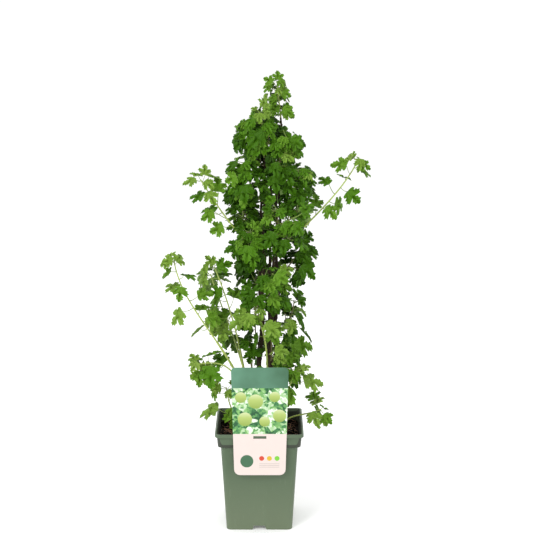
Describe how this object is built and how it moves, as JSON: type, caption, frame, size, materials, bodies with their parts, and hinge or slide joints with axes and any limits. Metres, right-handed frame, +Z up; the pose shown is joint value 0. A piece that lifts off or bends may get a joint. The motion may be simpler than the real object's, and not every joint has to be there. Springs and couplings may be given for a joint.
{
  "type": "gooseberry bush in a square nursery pot",
  "caption": "Young gooseberry bush with upright leafy stems and arching side shoots, in a square green nursery pot with a hanging label.",
  "frame": {"origin": "middle of the pot's flat underside, where the vertical through the pot's centre meets the surface it stands on", "axes": "+Z up, +X to the right seen from the label side, -Y towards the front where the label hangs"},
  "size_m": [0.3517, 0.2246, 0.7797],
  "materials": {
    "pot_plastic": "moulded sage green plastic, faintly glossy",
    "potting_soil": "moist dark peat with rootlets, rough",
    "label_card": "printed plastic card, smooth",
    "bark": "brown woody bark, fissured",
    "young_bark": "smooth green young shoots",
    "foliage": "green leaves, soft sheen"
  },
  "bodies": {
    "root": {"bough_back_left": "young_bark", "bough_back_right": "young_bark", "bough_far_left": "young_bark", "bough_front": "young_bark", "bough_inner_left": "young_bark", "bough_low_left": "young_bark", "bough_low_right": "young_bark", "bough_rim_left": "young_bark", "bough_rim_right": "young_bark", "bough_upper_back": "young_bark", "bough_upper_left": "young_bark", "bough_upper_right": "young_bark", "leaves_1_1": "foliage", "leaves_1_2": "foliage", "leaves_1_3": "foliage", "leaves_1_4": "foliage", "leaves_2_1": "foliage", "leaves_2_2": "foliage", "leaves_2_3": "foliage", "leaves_2_4": "foliage", "leaves_3_1": "foliage", "leaves_3_2": "foliage", "leaves_3_3": "foliage", "leaves_3_4": "foliage", "leaves_4_1": "foliage", "leaves_4_2": "foliage", "leaves_4_3": "foliage", "leaves_4_4": "foliage", "leaves_5_1": "foliage", "leaves_5_2": "foliage", "leaves_5_3": "foliage", "leaves_5_4": "foliage", "leaves_back_left": "foliage", "leaves_back_right": "foliage", "leaves_far_left": "foliage", "leaves_front": "foliage", "leaves_inner_left": "foliage", "leaves_low_left": "foliage", "leaves_low_right": "foliage", "leaves_rim_left": "foliage", "leaves_rim_right": "foliage", "leaves_tip_1": "foliage", "leaves_tip_2": "foliage", "leaves_tip_3": "foliage", "leaves_tip_4": "foliage", "leaves_tip_5": "foliage", "leaves_upper_back": "foliage", "leaves_upper_left": "foliage", "leaves_upper_right": "foliage", "main_stem_1": "bark", "main_stem_2": "bark", "main_stem_3": "bark", "main_stem_4": "bark", "main_stem_5": "bark", "plant_label": "label_card", "pot": "pot_plastic", "potting_soil": "potting_soil", "stool": "bark"}
  },
  "joints": []
}
